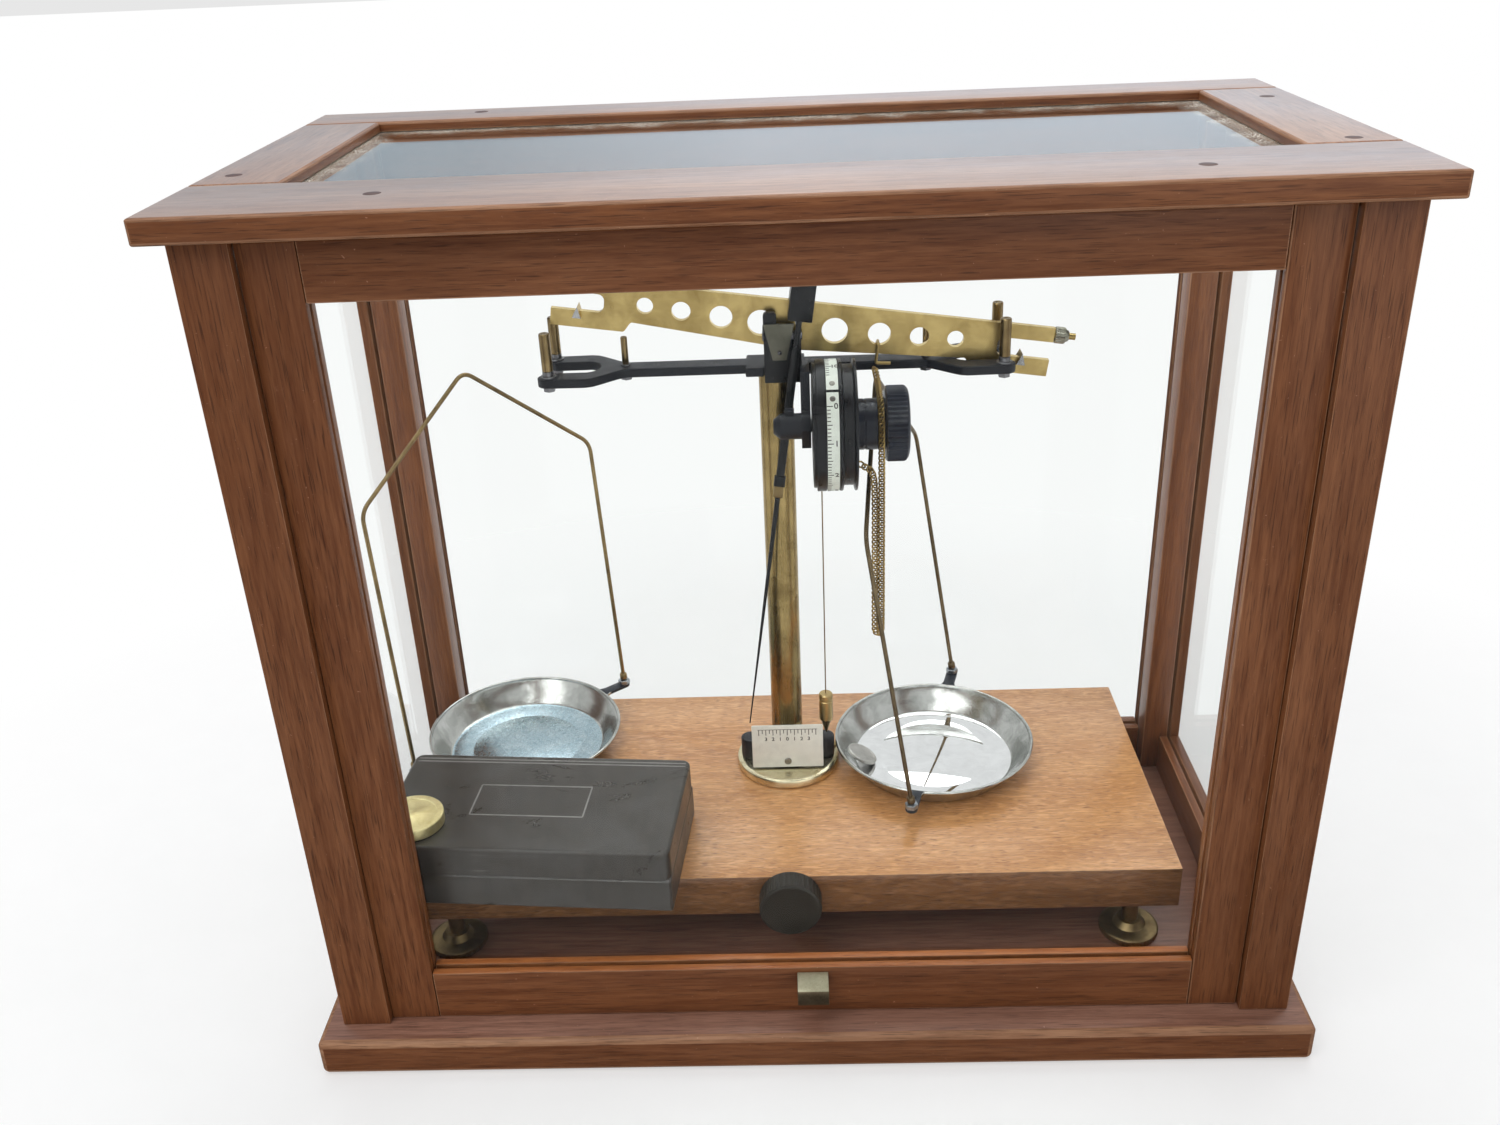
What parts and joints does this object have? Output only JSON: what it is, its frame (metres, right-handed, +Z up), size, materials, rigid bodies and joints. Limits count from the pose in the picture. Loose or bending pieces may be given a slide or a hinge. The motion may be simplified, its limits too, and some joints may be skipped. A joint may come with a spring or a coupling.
{
  "type": "chain balance in a glazed case",
  "caption": "Equal-arm knife-edge balance with a chain and graduated drum, two pans in wire stirrups and an arrest knob, in a glazed wooden case with a flap sash.",
  "frame": {"origin": "centre of the plinth's underside", "axes": "+X to the right along the case, +Y to the back, +Z up; the sash and the arrest knob face -Y"},
  "size_m": [0.4706, 0.2466, 0.409],
  "materials": {
    "case_wood": "worn satin varnish on red-brown hardwood",
    "board_wood": "satin varnish on orange-brown hardwood",
    "glass": "clear window glass",
    "brass": "lacquered, a little dulled",
    "old_brass": "tarnished brown",
    "black_enamel": "black stove enamel",
    "nickel": "bright nickel plate",
    "steel": "ground",
    "ivory": "satin, with black graduations",
    "box_black": "dull black with scuffs"
  },
  "bodies": {
    "case": {"plinth": "case_wood", "front_left_post": "case_wood", "front_right_post": "case_wood", "rear_left_post": "case_wood", "rear_right_post": "case_wood", "left_bottom_rail": "case_wood", "left_top_rail": "case_wood", "right_bottom_rail": "case_wood", "right_top_rail": "case_wood", "rear_bottom_rail": "case_wood", "rear_top_rail": "case_wood", "top_front_board": "case_wood", "top_back_board": "case_wood", "top_left_board": "case_wood", "top_right_board": "case_wood", "left_pane": "glass", "right_pane": "glass", "rear_pane": "glass", "top_pane": "glass", "base_board": "board_wood", "column_flange": "brass", "column": "brass", "arrest_arm": "black_enamel", "drum_bracket": "black_enamel", "scale_bracket": "black_enamel", "scale_plate": "ivory"},
    "sash": {"sash_left_stile": "case_wood", "sash_right_stile": "case_wood", "sash_bottom_rail": "case_wood", "sash_top_rail": "case_wood", "sash_pane": "glass", "finger_pull": "old_brass"},
    "front_left_foot": {"front_left_foot": "brass"},
    "front_right_foot": {"front_right_foot": "brass"},
    "rear_left_foot": {"rear_left_foot": "brass"},
    "rear_right_foot": {"rear_right_foot": "brass"},
    "arrest": {"arrest_knob": "old_brass", "arrest_shaft": "steel"},
    "lift": {"lift_rod": "steel", "yoke": "black_enamel", "chain": "old_brass"},
    "beam": {"beam": "brass", "middle_knife": "steel", "pointer": "black_enamel", "chain_hook": "brass"},
    "left_beam_nut": {"left_beam_nut": "brass"},
    "right_beam_nut": {"right_beam_nut": "brass"},
    "drum": {"drum": "black_enamel", "scale_tape": "ivory", "drum_knob": "black_enamel"},
    "plumb": {"plumb_line": "old_brass", "plumb_bob": "brass"},
    "left_pan": {"left_pan": "nickel"},
    "right_pan": {"right_pan": "nickel"},
    "left_stirrup": {"left_stirrup": "old_brass"},
    "right_stirrup": {"right_stirrup": "old_brass"},
    "tare_disc": {"tare_disc": "nickel"},
    "weights_box": {"weights_box_body": "box_black"},
    "box_lid": {"weights_box_lid": "box_black"},
    "brass_disc": {"brass_disc_weight": "brass"}
  },
  "joints": [
    {"name": "sash_flap", "type": "hinge", "parent": "case", "child": "sash", "pos_m": [0, -0.1037, 0.3953], "axis": [-1, 0, 0], "range_deg": [0, 90]},
    {"name": "front_left_foot_turn", "type": "hinge", "parent": "case", "child": "front_left_foot", "pos_m": [-0.18075, -0.0528, 0.02], "axis": [0, 0, 1], "continuous": true},
    {"name": "front_right_foot_turn", "type": "hinge", "parent": "case", "child": "front_right_foot", "pos_m": [0.16335, -0.0528, 0.02], "axis": [0, 0, 1], "continuous": true},
    {"name": "rear_left_foot_turn", "type": "hinge", "parent": "case", "child": "rear_left_foot", "pos_m": [-0.18075, 0.0782, 0.02], "axis": [0, 0, 1], "continuous": true},
    {"name": "rear_right_foot_turn", "type": "hinge", "parent": "case", "child": "rear_right_foot", "pos_m": [0.16335, 0.0782, 0.02], "axis": [0, 0, 1], "continuous": true},
    {"name": "arrest_turn", "type": "hinge", "parent": "case", "child": "arrest", "pos_m": [-0.008, -0.0705, 0.06075], "axis": [0, 1, 0], "range_deg": [0, 90]},
    {"name": "beam_lift", "type": "slide", "parent": "case", "child": "lift", "axis": [0, 0, 1], "range_m": [0, 0.004]},
    {"name": "beam_swing", "type": "hinge", "parent": "lift", "child": "beam", "pos_m": [0.003, 0.0255, 0.318], "axis": [0, -1, 0], "range_deg": [0, 11]},
    {"name": "left_nut_travel", "type": "slide", "parent": "beam", "child": "left_beam_nut", "axis": [-0.9898, 0, 0.1426], "range_m": [0, 0.0025]},
    {"name": "right_nut_travel", "type": "slide", "parent": "beam", "child": "right_beam_nut", "axis": [0.9898, 0, -0.1426], "range_m": [0, 0.0025]},
    {"name": "drum_turn", "type": "hinge", "parent": "case", "child": "drum", "pos_m": [0.0086, -0.006, 0.2807], "axis": [-1, 0, 0], "range_deg": [0, 335]},
    {"name": "plumb_swing", "type": "hinge", "parent": "case", "child": "plumb", "pos_m": [0.0131, 0.027, 0.2963], "axis": [0, 1, 0], "range_deg": [-1.5, 1.5]},
    {"name": "left_pan_lift", "type": "slide", "parent": "case", "child": "left_pan", "axis": [0, 0, 1], "range_m": [0, 0.01]},
    {"name": "right_pan_lift", "type": "slide", "parent": "case", "child": "right_pan", "axis": [0, 0, 1], "range_m": [0, 0.001]},
    {"name": "left_stirrup_lean", "type": "hinge", "parent": "left_pan", "child": "left_stirrup", "pos_m": [-0.1557, 0.0476, 0.0887], "axis": [0.766, 0.6428, 0], "range_deg": [0, 9]},
    {"name": "right_stirrup_lean", "type": "hinge", "parent": "right_pan", "child": "right_stirrup", "pos_m": [0.0713, 0.029, 0.0887], "axis": [0.2588, 0.9659, 0], "range_deg": [-1.2, 0]},
    {"name": "tare_disc_lift", "type": "slide", "parent": "right_pan", "child": "tare_disc", "axis": [0, 0, 1], "range_m": [0, 0.01]},
    {"name": "box_lift", "type": "slide", "parent": "case", "child": "weights_box", "axis": [0, 0, 1], "range_m": [0, 0.01]},
    {"name": "box_lid_hinge", "type": "hinge", "parent": "weights_box", "child": "box_lid", "pos_m": [-0.12905, -0.01261, 0.09065], "axis": [-0.9971, 0.0767, 0], "range_deg": [0, 80]},
    {"name": "brass_disc_lift", "type": "slide", "parent": "box_lid", "child": "brass_disc", "axis": [0, 0, 1], "range_m": [0, 0.006]}
  ],
  "couplings": [
    {"joint": "arrest_turn", "follows": "beam_lift", "rad_per_m": 392.26}
  ]
}
